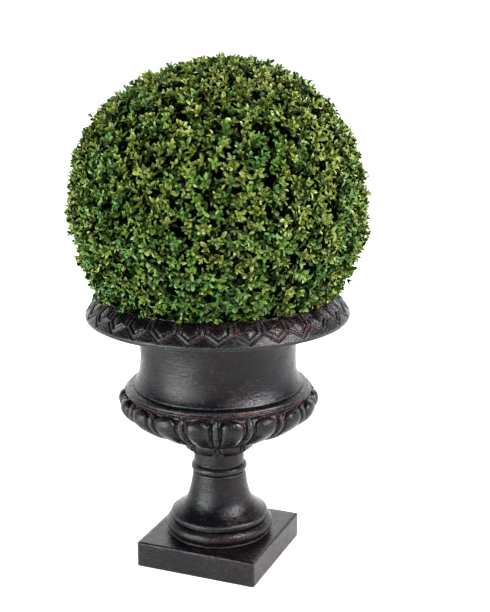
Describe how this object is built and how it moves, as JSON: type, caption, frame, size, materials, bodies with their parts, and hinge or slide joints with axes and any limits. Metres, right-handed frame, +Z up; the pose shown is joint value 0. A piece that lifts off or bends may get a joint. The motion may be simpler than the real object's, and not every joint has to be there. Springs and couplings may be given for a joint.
{
  "type": "box topiary ball in a plinth urn",
  "caption": "Clipped box shrub ball growing in a black classical urn with a lobed bowl, waisted wall, broad ornamented rim and square plinth.",
  "frame": {"origin": "middle of the flat underside of the plinth, on the floor", "axes": "+Z up, X and Y along the plinth's sides"},
  "size_m": [0.4519, 0.4549, 0.8047],
  "materials": {
    "urn_coating": "satin black coating on cast stone and resin, rubbed red-brown in the hollows and grey-green on the high places",
    "potting_mix": "dark moist crumb",
    "bark": "fine fissured grey-brown bark",
    "foliage": "small glossy oval leaves, mid green to yellow-green"
  },
  "bodies": {
    "root": {"plinth": "urn_coating", "foot_ring": "urn_coating", "pedestal": "urn_coating", "neck_ring": "urn_coating", "bowl_collar": "urn_coating", "bowl": "urn_coating", "wall_flare": "urn_coating", "wall_waist": "urn_coating", "rim": "urn_coating", "potting_mix": "potting_mix", "stem": "bark", "leaf_ball": "foliage"}
  },
  "joints": []
}
